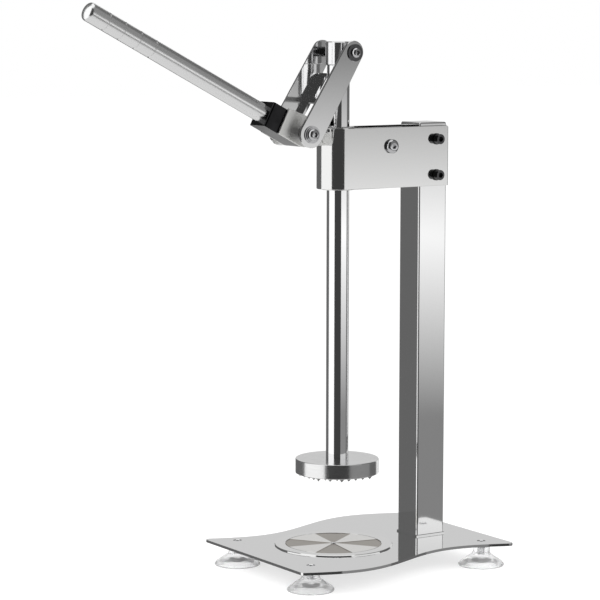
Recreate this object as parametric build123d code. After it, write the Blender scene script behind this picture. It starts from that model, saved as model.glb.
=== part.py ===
from build123d import *
import math
import os

# Lever-operated vertical press stand, millimetres, +Z up.
# +X points from the plunger to the column, the handle points to -X.
# Heights below are measured from the base plate's top face and raised by PLATE_TOP.

# --- Driving dimensions ---
PLATE_TOP = 27.5          # base plate top above the surface it stands on
PLATE_T = 3.0
PLATE_FRONT, PLATE_BACK = -113.5, 172.0
PLATE_HALF_W = 103.5      # mean half width
PLATE_WAVE = 19.0         # amplitude of the parallel wave of both long edges
FOOT_X = (-85.0, 147.0)
FOOT_Y = 76.0
CUP_R, CUP_NECK_R = 26.0, 10.0

PLATEN_X = -4.5
PLATEN_R_OUT, PLATEN_R_IN, PLATEN_H = 66.5, 54.0, 1.4

COL_X, COL_W, COL_WALL, COL_TOP = 116.6, 38.0, 2.0, 471.5
STRAP_R, STRAP_T = 24.0, 5.0
STRAP_Z0, STRAP_Z1, STRAP_END = 402.5, 470.3, 134.9
CLAMP_X, CLAMP_Z = 55.4, 449.0
COL_BOLT_X, COL_BOLT_Z = 117.4, (415.0, 455.5)

ROD_R = 12.6
ROD_RUN = 0.05            # radial running clearance of the rod in its bushes
HEAD_R, HEAD_Z0, HEAD_Z1 = 14.5, 539.4, 565.3
TOP_PIN_Z = 553.5
PRESS_R, PRESS_Z0, PRESS_Z1 = 46.9, 82.1, 98.6
TOOTH_PITCH, TOOTH_H, TOOTH_W = 9.4, 3.6, 5.2

LINK_X, LINK_Z = -56.0, 465.4      # lower link bolt
PIVOT_X, PIVOT_Z, PIVOT_R = -28.5, 459.0, 4.0   # fixed pivot of the lever and its pin
YOKE_IN, YOKE_T = 29.5, 3.0        # inner face of the yoke plates and their thickness
LEVER_DEG = 27.5                   # handle above the horizontal at rest
CH_HALF, CH_T, CH_R = 18.5, 2.5, 14.3
CH_LEN = 49.5                      # lower link bolt to the channel's end wall
CHEEK_T, CHEEK_FRONT = 3.0, 31.0   # outer cheek plates and how far forward they reach
EAR_Y0, EAR_Y1 = 11.5, 15.0
HANDLE_R, HANDLE_END = 10.5, 294.0
GROOVES = (204.9, 225.3, 246.5, 267.2)
LINK_SLOP = 2.5                    # clearance of the lower link bolt in the lever cheeks

Z = PLATE_TOP


def cyl_z(x, y, z0, z1, r):
    return Pos(x, y, (z0 + z1) / 2) * Cylinder(r, z1 - z0)


def cyl_y(x, z, y0, y1, r):
    return Pos(x, (y0 + y1) / 2, z) * Rot(90, 0, 0) * Cylinder(r, y1 - y0)


def box(x0, x1, y0, y1, z0, z1):
    return Pos((x0 + x1) / 2, (y0 + y1) / 2, (z0 + z1) / 2) * Box(x1 - x0, y1 - y0, z1 - z0)


def tube_y(x, z, y0, y1, r_out, r_in):
    return cyl_y(x, z, y0, y1, r_out) - cyl_y(x, z, y0 - 1, y1 + 1, r_in)


def ring_z(x, y, z0, z1, r_out, r_in):
    return cyl_z(x, y, z0, z1, r_out) - cyl_z(x, y, z0 - 1, z1 + 1, r_in)


def button_head(r, h, socket_r, socket_d):
    # domed socket head standing on z = 0, hexagon socket from its top
    prof = make_face(
        Polyline((0, 0), (r, 0), (r, h * 0.35))
        + ThreePointArc((r, h * 0.35), (r * 0.8, h * 0.8), (r * 0.45, h))
        + Polyline((r * 0.45, h), (0, h), (0, 0))
    )
    head = revolve(Plane.XZ * prof, axis=Axis.Z)
    return head - Pos(0, 0, h - socket_d) * extrude(RegularPolygon(socket_r, 6), socket_d + 1)


def on_y(shape, x, y, z, sign):
    # stand a +Z piece on the plane y, pointing along sign * Y
    return Pos(x, y, z) * Rot(-90 * sign, 0, 0) * shape


def group(*solids):
    return Compound([s if isinstance(s, Solid) else s.solid() for s in solids])


def nut(af, h, r_in):
    return extrude(RegularPolygon(af / math.sqrt(3), 6), h) - Pos(0, 0, h / 2) * Cylinder(r_in, h + 2)


P = {}

# --- Base plate with parallel wavy long edges ---
def wave(x):
    return PLATE_WAVE * math.sin(2 * math.pi * (x - 25.0) / 275.0)


xs = [PLATE_FRONT + (PLATE_BACK - PLATE_FRONT) * i / 12 for i in range(13)]
near = [(x, -PLATE_HALF_W + wave(x)) for x in xs]
far = [(x, PLATE_HALF_W + wave(x)) for x in xs]
outline = make_face(
    Spline(*near)
    + Line(near[-1], far[-1])
    + Spline(*reversed(far))
    + Line(far[0], near[0])
)
plate = Pos(0, 0, Z - PLATE_T) * extrude(outline, PLATE_T)
plate = fillet(plate.edges().filter_by(Axis.Z), 5.0)
feet = [(x, y) for x in FOOT_X for y in (-FOOT_Y, FOOT_Y)]
csk = revolve(
    Plane.XZ * make_face(Polyline((0, 0.6), (4.9, 0.6), (4.9, 0), (3.1, -1.8), (3.1, -PLATE_T - 1), (0, -PLATE_T - 1), (0, 0.6))),
    axis=Axis.Z,
)
for x, y in feet:
    plate -= Pos(x, y, Z) * csk
COL_SCREWS = [(COL_X - 9, 0), (COL_X + 9, 0)]
for x, y in COL_SCREWS:
    plate -= Pos(x, y, Z - PLATE_T) * Rot(180, 0, 0) * csk
plate -= cyl_z(PLATEN_X, 0, Z - PLATE_T - 1, Z + 1, 3.1)
P["base_plate"] = plate

# --- Foot screws, collars and hollow suction cups ---
UNDER = Z - PLATE_T
COLLAR_H = 2.5
screw = revolve(
    Plane.XZ
    * make_face(Polyline((0, -0.5), (4.3, -0.5), (3.05, -1.85), (3.05, -15.5), (0, -15.5), (0, -0.5))),
    axis=Axis.Z,
) - Pos(0, 0, -1.6) * extrude(RegularPolygon(2.0, 6), 2.0)
P["foot_screws"] = group(*[Pos(x, y, Z) * screw for x, y in feet])
P["foot_collars"] = group(*[ring_z(x, y, UNDER - COLLAR_H, UNDER, 11.0, 3.1) for x, y in feet])
cup_top = UNDER - COLLAR_H
cup_face = make_face(
    Line((0, cup_top), (CUP_NECK_R, cup_top))
    + Line((CUP_NECK_R, cup_top), (CUP_NECK_R, 15.5))
    + Spline((CUP_NECK_R, 15.5), (11.6, 12.6), (16.5, 9.2), (21.6, 5.6), (CUP_R, 1.2), tangents=[(0, -1), (0.55, -0.83)])
    + Line((CUP_R, 1.2), (CUP_R - 0.4, 0.0))
    + Line((CUP_R - 0.4, 0.0), (CUP_R - 2.2, 0.0))
    + Spline((CUP_R - 2.2, 0.0), (17.0, 3.6), (8.0, 6.0), (0.0, 6.6), tangents=[(-0.8, 0.6), (-1, 0)])
    + Line((0.0, 6.6), (0, cup_top))
)
cup = revolve(Plane.XZ * cup_face, axis=Axis.Z) - cyl_z(0, 0, cup_top - 10.6, cup_top + 1, 3.05)
P["suction_cups"] = group(*[Pos(x, y, 0) * cup for x, y in feet])

# --- Platen: ring, eight-sector turned disc, central screw ---
P["platen_ring"] = chamfer(
    ring_z(PLATEN_X, 0, Z, Z + PLATEN_H, PLATEN_R_OUT, PLATEN_R_IN + 0.05).edges().sort_by(Axis.Z)[-2:], 0.5
)
disc = cyl_z(0, 0, 0, PLATEN_H, PLATEN_R_IN)
disc = chamfer(disc.edges().group_by(Axis.Z)[-1], 0.3)
sector = make_face(
    Line((4.0, -0.9), (49.5, -19.9))
    + ThreePointArc((49.5, -19.9), (53.35, 0), (49.5, 19.9))
    + Line((49.5, 19.9), (4.0, 0.9))
    + Line((4.0, 0.9), (4.0, -0.9))
)
for k in range(4):
    disc -= Pos(0, 0, PLATEN_H - 0.25) * Rot(0, 0, 57 + 90 * k) * extrude(sector, 1)
disc -= cyl_z(0, 0, -1, PLATEN_H + 1, 3.1)
P["platen_disc"] = Pos(PLATEN_X, 0, Z) * disc
ps = revolve(
    Plane.XZ * make_face(Polyline((0, 0.5), (2.8, 0.5), (3.05, 0.2), (3.05, -PLATEN_H - PLATE_T), (0, -PLATEN_H - PLATE_T), (0, 0.5))),
    axis=Axis.Z,
)
P["platen_screw"] = Pos(PLATEN_X, 0, Z + PLATEN_H) * ps
P["platen_nut"] = Pos(PLATEN_X, 0, UNDER - 3.0) * (
    extrude(RegularPolygon(5.8, 6), 3.0)
)

# --- Column: foot plate, square tube, cap, screws from below ---
FOOT_T = 2.0
foot = box(COL_X - 19.6, COL_X + 19.6, -19.6, 19.6, Z, Z + FOOT_T)
foot = chamfer(foot.edges().group_by(Axis.Z)[-1], 0.55)
foot += box(COL_X - 15.5, COL_X + 15.5, -15.5, 15.5, Z + FOOT_T - 0.2, Z + 12)
for x, y in COL_SCREWS:
    foot -= cyl_z(x, y, Z - 1, Z + 13, 3.0)
P["column_foot"] = foot
tube = box(COL_X - COL_W / 2, COL_X + COL_W / 2, -COL_W / 2, COL_W / 2, Z + FOOT_T, Z + COL_TOP)
tube = fillet(tube.edges().filter_by(Axis.Z), 2.2)
tube -= fillet(
    box(COL_X - COL_W / 2 + COL_WALL, COL_X + COL_W / 2 - COL_WALL, -COL_W / 2 + COL_WALL, COL_W / 2 - COL_WALL, Z, Z + COL_TOP + 1)
    .edges()
    .filter_by(Axis.Z),
    0.6,
)
for z in COL_BOLT_Z:
    tube -= cyl_y(COL_BOLT_X, Z + z, -30, 30, 4.1)
P["column_tube"] = tube
cs = revolve(
    Plane.XZ * make_face(Polyline((0, -0.1), (4.7, -0.1), (3.0, -1.8), (3.0, -12.0), (0, -12.0), (0, -0.1))), axis=Axis.Z
) - Pos(0, 0, -1.4) * extrude(RegularPolygon(2.0, 6), 2.0)
P["column_screws"] = group(*[Pos(x, y, UNDER) * Rot(180, 0, 0) * cs for x, y in COL_SCREWS])
cap = box(COL_X - 18.6, COL_X + 18.6, -18.6, 18.6, Z + COL_TOP, Z + COL_TOP + 2.6)
cap = fillet(cap.edges().filter_by(Axis.Z), 2.0)
cap = fillet(cap.edges().group_by(Axis.Z)[-1], 1.8)
plug = box(COL_X - 16.9, COL_X + 16.9, -16.9, 16.9, Z + COL_TOP - 9, Z + COL_TOP + 0.5)
plug = fillet(plug.edges().filter_by(Axis.Z), 1.2)
cap += plug - box(COL_X - 14.4, COL_X + 14.4, -14.4, 14.4, Z + COL_TOP - 10, Z + COL_TOP)
P["column_cap"] = cap

# --- Head: U strap round the guide sleeve ---
R1, R0 = STRAP_R, STRAP_R - STRAP_T
strap2d = (
    Circle(R1) + Pos(STRAP_END / 2, 0) * Rectangle(STRAP_END, 2 * R1)
) - (Circle(R0) + Pos(STRAP_END / 2 + 5, 0) * Rectangle(STRAP_END + 10, 2 * R0))
strap2d = fillet([v for v in strap2d.vertices() if abs(v.X - STRAP_END) < 1e-3 and abs(abs(v.Y) - R1) < 1e-3], 2.2)
strap = Pos(0, 0, Z + STRAP_Z0) * extrude(strap2d, STRAP_Z1 - STRAP_Z0)
for x, z in [(CLAMP_X, CLAMP_Z)] + [(COL_BOLT_X, z) for z in COL_BOLT_Z]:
    strap -= cyl_y(x, Z + z, -40, 40, 4.1)
rim = [e for e in strap.edges() if abs(e.center().Z - (Z + STRAP_Z1)) < 1e-3 or abs(e.center().Z - (Z + STRAP_Z0)) < 1e-3]
strap = chamfer(rim, 0.4)
# both top corners of the open end are rounded
CORNER = 4.0
strap -= box(STRAP_END - CORNER, STRAP_END + 1, -40, 40, Z + STRAP_Z1 - CORNER, Z + STRAP_Z1 + 1) - cyl_y(
    STRAP_END - CORNER, Z + STRAP_Z1 - CORNER, -41, 41, CORNER
)
P["head_strap"] = strap
P["guide_sleeve"] = ring_z(0, 0, Z + STRAP_Z0 + 0.5, Z + STRAP_Z1 - 0.5, R0, 16.0)
BUSH_L = 22.0
bush = ring_z(0, 0, 0, BUSH_L, 16.0, ROD_R + ROD_RUN) + ring_z(0, 0, -1.5, 0.0, 18.2, ROD_R + ROD_RUN)
P["guide_bush_lower"] = Pos(0, 0, Z + STRAP_Z0 + 0.5) * bush
P["guide_bush_upper"] = Pos(0, 0, Z + STRAP_Z1 - 0.5) * Rot(180, 0, 0) * bush

# clamp bolt through the strap, with its spacer tube between the two flanks
def through_bolt(x, z, half, r, head, wr, wt, naf, nh):
    y_out = half + wt
    bolt = cyl_y(x, z, -y_out - 0.5, y_out + nh + 1.5, r) + on_y(head, x, -y_out, z, -1)
    w = [tube_y(x, z, half, half + wt, wr, r + 0.05), tube_y(x, z, -half - wt, -half, wr, r + 0.05)]
    n = on_y(nut(naf, nh, r), x, y_out, z, 1)
    return bolt, w, n


def cap_head(r, h, socket_r, socket_d):
    # cylindrical socket head standing on z = 0
    head = chamfer(cyl_z(0, 0, 0, h, r).edges().group_by(Axis.Z)[-1], 0.7)
    return head - Pos(0, 0, h - socket_d) * extrude(RegularPolygon(socket_r, 6), socket_d + 1)


b, w, n = through_bolt(CLAMP_X, Z + CLAMP_Z, R1, 4.0, button_head(7.8, 4.4, 2.9, 2.8), 7.0, 1.5, 13.0, 6.0)
P["clamp_bolt"] = b
P["clamp_washers"] = group(*w)
P["clamp_nut"] = n
P["clamp_spacer"] = tube_y(CLAMP_X, Z + CLAMP_Z, -R0, R0, 8.0, 4.05)
bb, ww, nn = [], [], []
for z in COL_BOLT_Z:
    b, w, n = through_bolt(COL_BOLT_X, Z + z, R1, 4.0, cap_head(5.7, 7.6, 3.3, 3.8), 6.4, 1.2, 13.0, 6.0)
    bb.append(b)
    ww += w
    nn.append(n)
P["column_bolts"] = group(*bb)
P["column_bolt_washers"] = group(*ww)
P["column_bolt_nuts"] = group(*nn)

# --- Fixed pivot of the lever: two ears welded to the strap's nose, pin and clips ---
FX, FZ = PIVOT_X, Z + PIVOT_Z
ears = []
for s in (-1, 1):
    sk = make_hull(
        (
            Pos(FX, FZ) * Circle(6.6)
            + Pos(-16.0, FZ) * Rectangle(4.0, 16.0)
        ).edges()
    )
    y0, y1 = (EAR_Y0, EAR_Y1) if s > 0 else (-EAR_Y1, -EAR_Y0)
    e = extrude(Plane.XZ.offset(-y1) * sk, y1 - y0)
    e -= cyl_z(0, 0, Z + 380, Z + 500, STRAP_R)
    e -= cyl_y(FX, FZ, -30, 30, PIVOT_R)
    ears.append(e)
P["pivot_ears"] = group(*ears)
PIN_Y = CH_HALF + 1.4
pin = chamfer(cyl_y(FX, FZ, -PIN_Y, PIN_Y, PIVOT_R).edges(), 0.4)
for s in (-1, 1):
    pin -= tube_y(FX, FZ, s * (CH_HALF + 0.7) - 0.35, s * (CH_HALF + 0.7) + 0.35, 5.0, PIVOT_R - 0.6)
P["lever_pivot_pin"] = pin
P["pivot_clips"] = group(
    *[tube_y(FX, FZ, s * (CH_HALF + 0.7) - 0.35, s * (CH_HALF + 0.7) + 0.35, 5.4, PIVOT_R - 0.6) for s in (-1, 1)]
)

# --- Lever: folded channel and handle, drawn along the handle ---
c, s_ = math.cos(math.radians(LEVER_DEG)), math.sin(math.radians(LEVER_DEG))
LP = Plane(origin=(LINK_X, 0, Z + LINK_Z), x_dir=(-c, 0, s_), z_dir=(0, 1, 0))
dx, dz = PIVOT_X - LINK_X, PIVOT_Z - LINK_Z
fs, ft = -dx * c + dz * s_, dx * s_ + dz * c     # the pivot in lever coordinates
REAR_R = 6.8
# folded channel: two inner walls, end wall and floor, rolled round the lower link bolt
wall2d = Circle(CH_R) + Pos(CH_LEN / 2, 0) * Rectangle(CH_LEN, 2 * CH_R)
wall2d = wall2d - Circle(5.0 + LINK_SLOP)
inner = CH_HALF - CHEEK_T
walls = []
for s in (-1, 1):
    z0 = inner - CH_T if s > 0 else -inner
    walls.append(Pos(0, 0, z0) * extrude(wall2d, CH_T))
web = Pos(CH_LEN - CH_T / 2, 0, 0) * Box(CH_T, 2 * CH_R, 2 * inner)
floor2d = Pos(CH_LEN / 2, -CH_R + CH_T / 2) * Rectangle(CH_LEN, CH_T)
roll = (Circle(CH_R) - Circle(CH_R - CH_T)) & (Pos(-CH_R / 2, -CH_R) * Rectangle(CH_R, 2 * (CH_R - 9.0)))
floor = Pos(0, 0, -inner + 0.5) * extrude(floor2d + roll, 2 * inner - 1.0)
channel = walls[0] + walls[1] + web + floor
corner = [
    e for e in channel.edges().filter_by(GeomType.LINE)
    if e.center().X > CH_LEN - 0.01 and abs(abs(e.center().Z) - inner) < 0.01
]
channel = fillet(corner, 2.2)
channel -= Pos(CH_LEN, 0, 0) * Rot(0, 90, 0) * Cylinder(8.0, 20)
P["lever_channel"] = LP * channel
# outer cheek plates: from the front edge back to the fixed pivot
cheek2d = (
    make_face(Polyline((CHEEK_FRONT, -CH_R), (CHEEK_FRONT, 15.9), (4.0, 19.0), (-8.0, 14.0), (-8.0, -CH_R + 2.5), (0, -CH_R), (CHEEK_FRONT, -CH_R)))
    + Circle(CH_R)
    + make_hull((Circle(CH_R - 1.0) + Pos(fs, ft) * Circle(REAR_R)).edges())
)
cheek2d = cheek2d - Circle(5.0 + LINK_SLOP) - Pos(fs, ft) * Circle(PIVOT_R + 0.05)
cheeks = []
for s in (-1, 1):
    z0 = inner if s > 0 else -CH_HALF
    ch = Pos(0, 0, z0) * extrude(cheek2d, CHEEK_T)
    zf = CH_HALF * s
    rim = [e for e in ch.edges() if abs(e.center().Z - zf) < 1e-3 and not (e.geom_type == GeomType.CIRCLE and e.radius < 8)]
    cheeks.append(chamfer(rim, 0.3))
P["lever_cheeks"] = group(*[LP * c_ for c_ in cheeks])

prof = make_face(
    Line((CH_LEN, 0), (CH_LEN, HANDLE_R))
    + Line((CH_LEN, HANDLE_R), (HANDLE_END - 6.5, HANDLE_R))
    + Spline((HANDLE_END - 6.5, HANDLE_R), (HANDLE_END - 1.6, HANDLE_R - 3.6), (HANDLE_END, 0), tangents=[(1, 0), (0, -1)])
    + Line((HANDLE_END, 0), (CH_LEN, 0))
)
rod = revolve(prof, axis=Axis.X)
spig = Pos(CH_LEN - 7.5, 0, 0) * Rot(0, 90, 0) * Cylinder(8.0, 15.2)
rod += spig
for g in GROOVES:
    groove = make_face(
        Polyline((g - 1.0, HANDLE_R + 1), (g - 1.0, HANDLE_R), (g - 0.6, HANDLE_R - 0.9), (g + 0.6, HANDLE_R - 0.9), (g + 1.0, HANDLE_R), (g + 1.0, HANDLE_R + 1), (g - 1.0, HANDLE_R + 1))
    )
    rod -= revolve(groove, axis=Axis.X)
P["handle_rod"] = LP * rod
HN = CH_LEN - CH_T
P["handle_washer"] = LP * (Pos(HN - 0.8, 0, 0) * Rot(0, 90, 0) * (Cylinder(11.0, 1.6) - Cylinder(8.0, 3)))
P["handle_nut"] = LP * (
    Pos(HN - 1.6 - 3.5, 0, 0)
    * Rot(0, 90, 0)
    * (Pos(0, 0, -3.5) * extrude(RegularPolygon(12.2, 6), 7.0) - Cylinder(8.0, 20))
)

# --- Link yoke: two side plates and an H-shaped web behind them ---
ll = math.hypot(LINK_X, TOP_PIN_Z - LINK_Z)
ux, uz = LINK_X / ll, (LINK_Z - TOP_PIN_Z) / ll
YP = Plane(origin=(0, 0, Z + TOP_PIN_Z), x_dir=(ux, 0, uz), z_dir=(0, 1, 0))
ysk = make_hull((Pos(0, 1.4) * Circle(12.4) + Pos(ll, 0) * Circle(14.7)).edges())
ysk = ysk - Circle(4.05) - Pos(ll, 0) * Circle(5.05)
plates = []
for s in (-1, 1):
    z0 = YOKE_IN if s > 0 else -YOKE_IN - YOKE_T
    p = Pos(0, 0, z0) * extrude(ysk, YOKE_T)
    zf = z0 + (YOKE_T if s > 0 else 0)
    ring = [e for e in p.edges() if abs(e.center().Z - zf) < 1e-3 and e.length > 40]
    p = chamfer(ring, 0.4)
    plates.append(p)
W0, W1 = -11.5, -8.5
def wbox(x0, x1, z0, z1):
    return Pos((x0 + x1) / 2, (W0 + W1) / 2, (z0 + z1) / 2) * Box(x1 - x0, W1 - W0, z1 - z0)


XB0, XB1 = ll - 49.5, ll - 44.0
webs = wbox(XB0, XB1, -YOKE_IN - 0.5, YOKE_IN + 0.5)
for s in (-1, 1):
    a, b_ = (15.8, YOKE_IN + 0.5) if s > 0 else (-YOKE_IN - 0.5, -15.8)
    webs += wbox(ll - 82.0, XB0 + 1, a, b_)
    a, b_ = (20.8, YOKE_IN + 0.5) if s > 0 else (-YOKE_IN - 0.5, -20.8)
    webs += wbox(XB1 - 1, ll - 23.5, a, b_)
P["link_yoke"] = YP * (plates[0] + plates[1] + webs)

# bolts of the two yoke joints
YO = YOKE_IN + YOKE_T


def yoke_bolt(x, z, r, head_r, head_h, sock, wr, wt, n_wash, naf, nh):
    y_out = YO + wt * n_wash
    bolt = cyl_y(x, z, -y_out, y_out + nh + 1.2, r) + on_y(button_head(head_r, head_h, sock, head_h * 0.55), x, -y_out, z, -1)
    ws = []
    for s in (-1, 1):
        for k in range(n_wash):
            a = YO + wt * k
            rr = wr - 1.6 * k
            ws.append(tube_y(x, z, a, a + wt, rr, r + 0.03) if s > 0 else tube_y(x, z, -a - wt, -a, rr, r + 0.03))
    n = on_y(nut(naf, nh, r), x, y_out, z, 1)
    return bolt, ws, n


b, w, n = yoke_bolt(0, Z + TOP_PIN_Z, 4.0, 5.6, 4.6, 2.8, 9.5, 1.5, 1, 13.0, 5.0)
P["top_link_bolt"], P["top_link_washers"], P["top_link_nut"] = b, group(*w), n
spacers = []
for s in (-1, 1):
    y0, y1 = (14.8, YOKE_IN) if s > 0 else (-YOKE_IN, -14.8)
    sp = tube_y(0, Z + TOP_PIN_Z, y0, y1, 5.6, 4.03)
    for k in range(4):
        y = s * (17.6 + 3.1 * k)
        sp -= tube_y(0, Z + TOP_PIN_Z, y - 0.6, y + 0.6, 7.0, 4.8)
    spacers.append(sp)
P["top_link_spacers"] = group(*spacers)
b, w, n = yoke_bolt(LINK_X, Z + LINK_Z, 5.0, 6.6, 4.4, 3.2, 9.6, 1.3, 2, 15.0, 5.0)
P["lower_link_bolt"], P["lower_link_washers"], P["lower_link_nut"] = b, group(*w), n
P["lower_link_spacers"] = group(
    tube_y(LINK_X, Z + LINK_Z, CH_HALF + 0.35, YOKE_IN, 8.4, 5.03),
    tube_y(LINK_X, Z + LINK_Z, -YOKE_IN, -CH_HALF - 0.35, 8.4, 5.03),
)

# --- Plunger: rod, head block, toothed presser foot, countersunk screw ---
SPIG_R, SPIG_D = 8.0, 10.0
prod = cyl_z(0, 0, Z + PRESS_Z1, Z + HEAD_Z0, ROD_R) + cyl_z(0, 0, Z + PRESS_Z1 - SPIG_D, Z + PRESS_Z1 + 1, SPIG_R)
prod -= cyl_z(0, 0, Z + PRESS_Z1 - SPIG_D - 1, Z + PRESS_Z1 + 14, 4.0)
P["plunger_rod"] = prod
head = cyl_z(0, 0, Z + HEAD_Z0, Z + HEAD_Z1, HEAD_R)
head = chamfer(head.edges().filter_by(GeomType.CIRCLE), 0.8)
head -= cyl_y(0, Z + TOP_PIN_Z, -30, 30, 4.05)
P["plunger_head"] = head
foot = cyl_z(0, 0, Z + PRESS_Z0, Z + PRESS_Z1, PRESS_R)
foot = fillet(foot.edges().filter_by(GeomType.CIRCLE), 0.9)
foot -= cyl_z(0, 0, Z + PRESS_Z1 - SPIG_D, Z + PRESS_Z1 + 1, SPIG_R)
foot -= cyl_z(0, 0, Z + PRESS_Z0 - 1, Z + PRESS_Z1, 4.05)
foot -= Pos(0, 0, Z + PRESS_Z0) * Rot(180, 0, 0) * revolve(
    Plane.XZ * make_face(Polyline((0, 1), (7.0, 1), (7.0, 0), (4.0, -3.0), (0, -3.0), (0, 1))), axis=Axis.Z
)
tooth = Pos(0, 0, 0.5) * extrude(Rectangle(TOOTH_W, TOOTH_W), -(TOOTH_H + 0.5), taper=30)
n_half = int(PRESS_R // TOOTH_PITCH) + 1
for i in range(-n_half, n_half + 1):
    for j in range(-n_half, n_half + 1):
        x, y = i * TOOTH_PITCH, j * TOOTH_PITCH
        if 9.0 < math.hypot(x, y) < PRESS_R - 4.2:
            foot += Pos(x, y, Z + PRESS_Z0) * tooth
P["presser_foot"] = foot
P["presser_screw"] = Pos(0, 0, Z + PRESS_Z0) * Rot(180, 0, 0) * (
    revolve(
        Plane.XZ * make_face(Polyline((0, -0.1), (6.9, -0.1), (4.0, -3.0), (4.0, -28.0), (0, -28.0), (0, -0.1))), axis=Axis.Z
    )
    - Pos(0, 0, -2.4) * extrude(RegularPolygon(2.9, 6), 3.0)
)

# --- Move the origin to the bottom centre of the whole and write the pieces ---
lo = [min(tuple(v.bounding_box().min)[k] for v in P.values()) for k in range(3)]
hi = [max(tuple(v.bounding_box().max)[k] for v in P.values()) for k in range(3)]
SHIFT = (-(lo[0] + hi[0]) / 2, -(lo[1] + hi[1]) / 2, -lo[2])
os.makedirs("parts", exist_ok=True)
for name, shape in P.items():
    export_step(Pos(*SHIFT) * shape, f"parts/{name}.step")
print("box", [round(v, 3) for v in lo], [round(v, 3) for v in hi])
print("shift", [round(v, 4) for v in SHIFT], "pieces", len(P))
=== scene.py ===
import bpy, bmesh, math
from mathutils import Vector, Matrix


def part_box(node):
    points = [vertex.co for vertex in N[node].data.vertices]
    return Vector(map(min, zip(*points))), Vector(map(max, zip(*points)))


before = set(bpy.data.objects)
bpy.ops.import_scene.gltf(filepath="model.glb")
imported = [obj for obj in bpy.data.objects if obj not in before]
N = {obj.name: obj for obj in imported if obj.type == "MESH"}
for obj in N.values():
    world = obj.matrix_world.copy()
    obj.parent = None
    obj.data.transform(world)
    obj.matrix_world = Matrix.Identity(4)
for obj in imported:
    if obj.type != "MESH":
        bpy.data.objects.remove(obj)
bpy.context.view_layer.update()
S = bpy.context.scene
S.view_settings.view_transform = "Standard"
S.view_settings.look = "None"


def mm(*v):
    return tuple(x / 1000.0 for x in v)


# --------------------------------------------------------------- camera
FOCAL_PX = 2542.232
AZ, EL, ROLL = math.radians(56.961), math.radians(6.816), math.radians(0.096)
TARGET = Vector(mm(72.782 - 52.268, -3.34, 27.5 + 281.266))
DIST = 2.811766
back = Vector((-math.cos(EL) * math.cos(AZ), -math.cos(EL) * math.sin(AZ), math.sin(EL)))
cam_data = bpy.data.cameras.new("camera")
cam = bpy.data.objects.new("camera", cam_data)
S.collection.objects.link(cam)
cam.location = TARGET + back * DIST
right = (-back).cross(Vector((0, 0, 1))).normalized()
up = right.cross(-back).normalized()
r2 = math.cos(ROLL) * right + math.sin(ROLL) * up
u2 = -math.sin(ROLL) * right + math.cos(ROLL) * up
cam.matrix_world = Matrix((
    (r2.x, u2.x, back.x, cam.location.x),
    (r2.y, u2.y, back.y, cam.location.y),
    (r2.z, u2.z, back.z, cam.location.z),
    (0, 0, 0, 1),
))
cam_data.sensor_width = 36.0
cam_data.lens = FOCAL_PX / 600.0 * 36.0
cam_data.clip_end = 50
S.camera = cam
CAM_AZ = math.degrees(math.atan2(back.y, back.x))   # direction from the object to the camera


# --------------------------------------------------------------- material tools
class Mat:
    def __init__(self, name):
        self.m = bpy.data.materials.new(name)
        self.m.use_nodes = True
        self.t = self.m.node_tree
        self.t.nodes.clear()
        self.out = self.n("ShaderNodeOutputMaterial")
        self.b = self.n("ShaderNodeBsdfPrincipled")
        self.link(self.b.outputs[0], self.out.inputs[0])

    def n(self, kind, **kw):
        node = self.t.nodes.new(kind)
        for k, v in kw.items():
            setattr(node, k, v)
        return node

    def link(self, a, b):
        self.t.links.new(a, b)

    def val(self, sock, v):
        self.b.inputs[sock].default_value = v

    def coords(self, scale=(1, 1, 1), rot=(0, 0, 0), loc=(0, 0, 0)):
        tc = self.n("ShaderNodeTexCoord")
        mp = self.n("ShaderNodeMapping")
        mp.inputs["Scale"].default_value = scale
        mp.inputs["Rotation"].default_value = rot
        mp.inputs["Location"].default_value = loc
        self.link(tc.outputs["Object"], mp.inputs["Vector"])
        return mp.outputs[0]

    def noise(self, vec, scale=5.0, detail=4.0, rough=0.55, dist=0.0):
        nn = self.n("ShaderNodeTexNoise")
        nn.inputs["Scale"].default_value = scale
        nn.inputs["Detail"].default_value = detail
        nn.inputs["Roughness"].default_value = rough
        nn.inputs["Distortion"].default_value = dist
        self.link(vec, nn.inputs["Vector"])
        return nn.outputs[0]

    def ramp(self, fac, stops):
        r = self.n("ShaderNodeValToRGB")
        e = r.color_ramp.elements
        while len(e) < len(stops):
            e.new(0.5)
        for el, (p, col) in zip(e, stops):
            el.position = p
            el.color = (*col, 1) if len(col) == 3 else col
        self.link(fac, r.inputs[0])
        return r.outputs[0]

    def remap(self, fac, a, b, c, d):
        r = self.n("ShaderNodeMapRange")
        for k, v in zip(("From Min", "From Max", "To Min", "To Max"), (a, b, c, d)):
            r.inputs[k].default_value = v
        self.link(fac, r.inputs[0])
        return r.outputs[0]

    def math(self, op, a, b=None):
        r = self.n("ShaderNodeMath", operation=op)
        for i, v in enumerate((a, b)):
            if v is None:
                continue
            if isinstance(v, (int, float)):
                r.inputs[i].default_value = v
            else:
                self.link(v, r.inputs[i])
        return r.outputs[0]

    def mix(self, fac, a, b):
        r = self.n("ShaderNodeMix", data_type="RGBA")
        for i, v in ((0, fac), (6, a), (7, b)):
            if isinstance(v, (int, float)):
                r.inputs[i].default_value = v
            elif isinstance(v, tuple):
                r.inputs[i].default_value = (*v, 1)
            else:
                self.link(v, r.inputs[i])
        return r.outputs[2]

    def bump(self, *heights):
        prev = None
        for h, strength, dist in heights:
            bp = self.n("ShaderNodeBump")
            bp.inputs["Strength"].default_value = strength
            bp.inputs["Distance"].default_value = dist
            self.link(h, bp.inputs["Height"])
            if prev is not None:
                self.link(prev, bp.inputs["Normal"])
            prev = bp.outputs[0]
        self.link(prev, self.b.inputs["Normal"])


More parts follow.
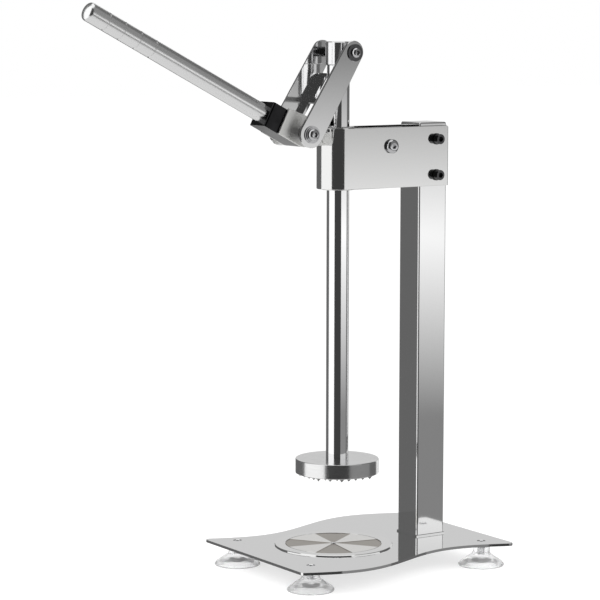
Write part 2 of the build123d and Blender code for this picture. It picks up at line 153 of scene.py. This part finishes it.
def metal(name, col, rough, grain=(1, 1, 1), grain_amt=0.03, bump=0.02, var=0.04, smudge=0.05, aniso=0.0, rot=(0, 0, 0)):
    """Steel: fine directional grain, faint handling marks and slow colour drift."""
    m = Mat(name)
    m.val("Metallic", 1.0)
    g = m.noise(m.coords(grain, rot), 1.0, 6.0, 0.6)
    g2 = m.noise(m.coords(tuple(x * 3.1 for x in grain), rot, (3, 1, 7)), 1.0, 3.0, 0.5)
    big = m.noise(m.coords((1, 1, 1), (0, 0, 0), (5, 2, 1)), 14.0, 4.0, 0.55, 0.3)
    fine = m.math("ADD", m.math("MULTIPLY", g, 0.6), m.math("MULTIPLY", g2, 0.4))
    c1 = m.mix(m.remap(fine, 0.3, 0.7, 0, 1), tuple(max(0, x - var) for x in col), tuple(min(1, x + var) for x in col))
    m.link(c1, m.b.inputs["Base Color"])
    r = m.math("ADD", m.remap(fine, 0.3, 0.7, rough - grain_amt, rough + grain_amt), m.remap(big, 0.45, 0.75, 0.0, smudge))
    m.link(r, m.b.inputs["Roughness"])
    m.val("Anisotropic", aniso)
    if bump > 0:
        m.bump((fine, bump, 0.0004))
    return m


def put(mat, *names):
    for nme in names:
        for slot in N[nme].material_slots:
            slot.material = mat.m


# grain scales are cycles per metre along each axis: small along the brushing, large across it
M_rod = metal("rod_chrome", (0.92, 0.92, 0.925), 0.05, (900, 900, 60), 0.012, 0.0, 0.008, 0.01)
M_head = metal("head_chrome", (0.86, 0.86, 0.865), 0.10, (60, 60, 2200), 0.02, 0.0, 0.015, 0.01)
M_handle = metal("handle_satin", (0.93, 0.93, 0.93), 0.24, (900, 900, 900), 0.02, 0.0, 0.01, 0.02)
M_plate = metal("plate_steel", (0.84, 0.84, 0.84), 0.05, (70, 2600, 200), 0.012, 0.003, 0.015, 0.01)
M_column = metal("column_steel", (0.86, 0.86, 0.86), 0.07, (2400, 2400, 30), 0.02, 0.004, 0.015, 0.02, 0.3)
M_strap = metal("strap_steel", (0.80, 0.80, 0.795), 0.085, (60, 60, 2600), 0.02, 0.004, 0.012, 0.02, 0.3)
M_yoke = metal("yoke_steel", (0.88, 0.88, 0.88), 0.075, (1500, 1500, 1500), 0.02, 0.0, 0.01, 0.02)
M_cheek = metal("cheek_steel", (0.93, 0.93, 0.91), 0.34, (1500, 1500, 1500), 0.02, 0.0, 0.01, 0.02)
M_foot = metal("foot_steel", (0.80, 0.80, 0.80), 0.16, (50, 50, 2600), 0.05, 0.015, 0.07, 0.03, 0.5)
M_bush = metal("bush_polymer", (0.74, 0.74, 0.74), 0.30, (400, 400, 2000), 0.05, 0.01, 0.03, 0.04)
M_fast = metal("fastener_steel", (0.62, 0.62, 0.63), 0.08, (700, 700, 700), 0.03, 0.0, 0.03, 0.03)
M_dark = metal("dark_fastener", (0.085, 0.085, 0.088), 0.16, (700, 700, 700), 0.03, 0.0, 0.02, 0.04)
M_ring = metal("turned_steel", (0.86, 0.86, 0.855), 0.08, (900, 900, 900), 0.015, 0.0, 0.02, 0.02)

# near-black glossy base colour of the channel: painted dark reflection, standing in for the dark surround seen in its
# polished steel
M_channel_painted_dark = Mat("lever_black")
bn = M_channel_painted_dark.noise(M_channel_painted_dark.coords(), 60.0, 5.0, 0.6)
M_channel_painted_dark.link(M_channel_painted_dark.mix(M_channel_painted_dark.remap(bn, 0.3, 0.7, 0, 1), (0.020, 0.020, 0.021), (0.040, 0.040, 0.042)), M_channel_painted_dark.b.inputs["Base Color"])
M_channel_painted_dark.val("Metallic", 1.0)
M_channel_painted_dark.link(M_channel_painted_dark.remap(bn, 0.3, 0.7, 0.10, 0.17), M_channel_painted_dark.b.inputs["Roughness"])

M_colfoot = metal("column_foot_steel", (0.80, 0.80, 0.80), 0.10, (900, 900, 900), 0.02, 0.0, 0.015, 0.02)

# platen disc: turned grooves; its eight alternating warm dark and light sectors, lined up with the camera's azimuth,
# are a painted reflection of the turned face's sheen
M_platen_painted_sheen = Mat("sector_steel")
M_platen_painted_sheen.val("Metallic", 1.0)
PX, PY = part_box("platen_disc")[0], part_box("platen_disc")[1]
pc = ((PX[0] + PY[0]) / 2, (PX[1] + PY[1]) / 2)
tc = M_platen_painted_sheen.n("ShaderNodeTexCoord")
sep = M_platen_painted_sheen.n("ShaderNodeSeparateXYZ")
M_platen_painted_sheen.link(tc.outputs["Object"], sep.inputs[0])
sx = M_platen_painted_sheen.math("SUBTRACT", sep.outputs[0], pc[0])
sy = M_platen_painted_sheen.math("SUBTRACT", sep.outputs[1], pc[1])
ang = M_platen_painted_sheen.math("ARCTAN2", sy, sx)
rad = M_platen_painted_sheen.math("SQRT", M_platen_painted_sheen.math("ADD", M_platen_painted_sheen.math("MULTIPLY", sx, sx), M_platen_painted_sheen.math("MULTIPLY", sy, sy)))
sheen_sector_wave = M_platen_painted_sheen.math("COSINE", M_platen_painted_sheen.math("MULTIPLY", M_platen_painted_sheen.math("SUBTRACT", ang, math.radians(57.0)), 4.0))
painted_sheen_mask = M_platen_painted_sheen.remap(sheen_sector_wave, -0.035, 0.035, 0.0, 1.0)
ringn = M_platen_painted_sheen.n("ShaderNodeTexNoise", noise_dimensions="1D")
ringn.inputs["Scale"].default_value = 2600.0
ringn.inputs["Detail"].default_value = 3.0
M_platen_painted_sheen.link(rad, ringn.inputs["W"])
rn = ringn.outputs[0]
# dark and light base colours of the sectors: painted reflection, not the steel's own tone
painted_dark_sheen = M_platen_painted_sheen.mix(M_platen_painted_sheen.remap(rn, 0.3, 0.7, 0, 1), (0.36, 0.33, 0.29), (0.44, 0.41, 0.365))
painted_light_sheen = M_platen_painted_sheen.mix(M_platen_painted_sheen.remap(rn, 0.3, 0.7, 0, 1), (0.84, 0.83, 0.80), (0.93, 0.92, 0.90))
M_platen_painted_sheen.link(M_platen_painted_sheen.mix(painted_sheen_mask, painted_light_sheen, painted_dark_sheen), M_platen_painted_sheen.b.inputs["Base Color"])
M_platen_painted_sheen.link(M_platen_painted_sheen.math("ADD", M_platen_painted_sheen.remap(painted_sheen_mask, 0, 1, 0.14, 0.30), M_platen_painted_sheen.remap(rn, 0.3, 0.7, -0.02, 0.02)), M_platen_painted_sheen.b.inputs["Roughness"])
M_platen_painted_sheen.bump((rn, 0.03, 0.0002))

# clear soft PVC of the cups
M_pvc = Mat("cup_rubber")
pn = M_pvc.noise(M_pvc.coords(), 90.0, 3.0, 0.5)
M_pvc.link(M_pvc.mix(M_pvc.remap(pn, 0.3, 0.7, 0, 1), (0.97, 0.975, 0.98), (1.0, 1.0, 1.0)), M_pvc.b.inputs["Base Color"])
M_pvc.link(M_pvc.remap(pn, 0.3, 0.7, 0.05, 0.10), M_pvc.b.inputs["Roughness"])
M_pvc.val("IOR", 1.40)
M_pvc.val("Transmission Weight", 0.86)
M_pvc.bump((pn, 0.03, 0.0004))

# dark base colour of the top link's washers, spacers and nut: painted dark reflection around the top pivot
M_link_painted_dark = metal("link_hardware_painted_dark", (0.20, 0.20, 0.205), 0.12, (700, 700, 700), 0.03, 0.0, 0.04, 0.03)

put(M_rod, "plunger_rod")
put(M_head, "plunger_head")
put(M_handle, "handle_rod")
put(M_plate, "base_plate")
put(M_column, "column_tube", "column_cap")
put(M_colfoot, "column_foot")
put(M_strap, "head_strap", "guide_sleeve", "pivot_ears")
put(M_yoke, "link_yoke")
put(M_cheek, "lever_cheeks", "lever_pivot_pin", "pivot_clips")
put(M_foot, "presser_foot")
put(M_bush, "guide_bush_lower", "guide_bush_upper")
put(M_ring, "platen_ring")
put(M_platen_painted_sheen, "platen_disc")
put(M_pvc, "suction_cups")
put(M_channel_painted_dark, "lever_channel")
put(M_dark, "column_bolts", "column_bolt_nuts", "column_bolt_washers")
put(M_link_painted_dark, "top_link_washers", "top_link_spacers", "top_link_nut")
put(M_fast, "foot_screws", "foot_collars", "platen_screw", "platen_nut", "column_screws", "clamp_bolt", "clamp_washers",
    "clamp_nut", "clamp_spacer", "handle_washer", "handle_nut",
    "presser_screw", "top_link_bolt",
    "lower_link_bolt", "lower_link_washers", "lower_link_nut", "lower_link_spacers")


# --------------------------------------------------------------- studio
def stage_obj(name, verts, faces, mat):
    me = bpy.data.meshes.new(name)
    me.from_pydata(verts, [], faces)
    o = bpy.data.objects.new(name, me)
    S.collection.objects.link(o)
    me.materials.append(mat)
    return o


# pale floor with a painted glow: emission makes up half its light at the piece and all of it far out, thinning its
# shadows and fading it to the plain white surround away from the piece
mf = Mat("floor_paper")
fnz = mf.noise(mf.coords(), 300.0, 4.0, 0.6)
mf.link(mf.mix(mf.remap(fnz, 0.3, 0.7, 0, 1), (0.95, 0.95, 0.95), (0.97, 0.97, 0.97)), mf.b.inputs["Base Color"])
mf.val("Roughness", 0.9)
mf.val("Specular IOR Level", 0.0)
ftc = mf.n("ShaderNodeTexCoord")
flen = mf.n("ShaderNodeVectorMath", operation="LENGTH")
mf.link(ftc.outputs["Object"], flen.inputs[0])
# painted glow: emission mixed into the floor so that shadows cast on it come out faint
painted_floor_glow = mf.n("ShaderNodeEmission")
painted_floor_glow.inputs[0].default_value = (1, 1, 1, 1)
painted_floor_glow.inputs[1].default_value = 1.05
fmx = mf.n("ShaderNodeMixShader")
mf.link(mf.remap(flen.outputs["Value"], 0.15, 0.9, 0.50, 1.0), fmx.inputs[0])
mf.link(mf.b.outputs[0], fmx.inputs[1])
mf.link(painted_floor_glow.outputs[0], fmx.inputs[2])
mf.link(fmx.outputs[0], mf.out.inputs[0])
F = 12.0
floor_obj = stage_obj("floor", [(-F, -F, 0), (F, -F, 0), (F, F, 0), (-F, F, 0)], [(0, 1, 2, 3)], mf.m)
floor_obj.visible_glossy = False


def panel_light(name, middle, ends):
    """A soft panel's light: brightest at its middle height, falling off evenly above and below."""
    m = Mat(name)
    tcn = m.n("ShaderNodeTexCoord")
    sp = m.n("ShaderNodeSeparateXYZ")
    m.link(tcn.outputs["Object"], sp.inputs[0])
    off = m.math("ABSOLUTE", m.math("SUBTRACT", sp.outputs[2], 0.25))
    em = m.n("ShaderNodeEmission")
    m.link(m.mix(m.remap(off, 0.0, 0.30, 0.0, 1.0), (middle,) * 3, (ends,) * 3), em.inputs[0])
    m.link(em.outputs[0], m.out.inputs[0])
    return m.m


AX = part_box("plunger_rod")
RX, RY = (AX[0][0] + AX[1][0]) / 2, (AX[0][1] + AX[1][1]) / 2
CARD_R = 1.4


def reflector(name, verts, faces, mat):
    """A stage surface that only the polished metal sees."""
    o = stage_obj(name, verts, faces, mat)
    o.visible_camera = False
    o.visible_diffuse = False
    o.visible_shadow = False
    o.visible_transmission = False
    o.visible_volume_scatter = False
    return o


LOW, HIGH = -0.35, 3.0


def panel(name, d0, d1, middle, ends):
    """A curved studio panel, d0 to d1 degrees round the part. It runs on below the floor, which the metal doesn't see."""
    n = max(2, int(abs(d1 - d0) / 2))
    v, f = [], []
    for i in range(n + 1):
        a = math.radians(CAM_AZ + d0 + (d1 - d0) * i / n)
        x, y = RX + CARD_R * math.cos(a), RY + CARD_R * math.sin(a)
        v += [(x, y, LOW), (x, y, HIGH)]
        if i:
            k = 2 * i
            f.append((k - 2, k, k + 1, k - 1))
    return reflector(name, v, f, panel_light(name, middle, ends))


# white and black panels all round, as for any polished piece
panel("panel_front", -34, 34, 0.05, 0.05)
panel("panel_left", -100, -34, 1.1, 1.1)
panel("panel_right", 34, 100, 1.1, 0.25)
panel("panel_back_left", -165, -100, 0.14, 0.14)
panel("panel_back_right", 100, 165, 0.14, 0.14)
panel("panel_back", 165, 195, 0.66, 0.66)
ring = [(RX + CARD_R * math.cos(math.radians(a)), RY + CARD_R * math.sin(math.radians(a)), LOW) for a in range(0, 360, 5)]
reflector("panel_below", ring, [tuple(range(len(ring)))], panel_light("panel_below", 0.70, 0.70))

world = bpy.data.worlds.new("studio")
S.world = world
world.use_nodes = True
bg = world.node_tree.nodes["Background"]
bg.inputs[0].default_value = (1, 1, 1, 1)
bg.inputs[1].default_value = 1.0


def area(name, loc, look, size, power):
    ld = bpy.data.lights.new(name, "AREA")
    ld.shape = "RECTANGLE"
    ld.size, ld.size_y = size
    ld.energy = power
    o = bpy.data.objects.new(name, ld)
    S.collection.objects.link(o)
    o.location = loc
    o.rotation_mode = "QUATERNION"
    o.rotation_quaternion = (Vector(look) - Vector(loc)).to_track_quat("-Z", "Y")
    o.visible_glossy = False
    return o


area("key_left", (-1.6, 0.6, 1.3), (0, 0, 0.0), (1.6, 1.6), 26)
area("key_right", (1.2, -1.6, 1.2), (0, 0, 0.0), (1.6, 1.6), 26)
area("front", (-1.2, -1.6, 0.7), (0, 0, 0.0), (1.6, 1.0), 18)
area("top", (0.1, 0.0, 2.4), (0.05, 0, 0), (1.8, 1.8), 12)
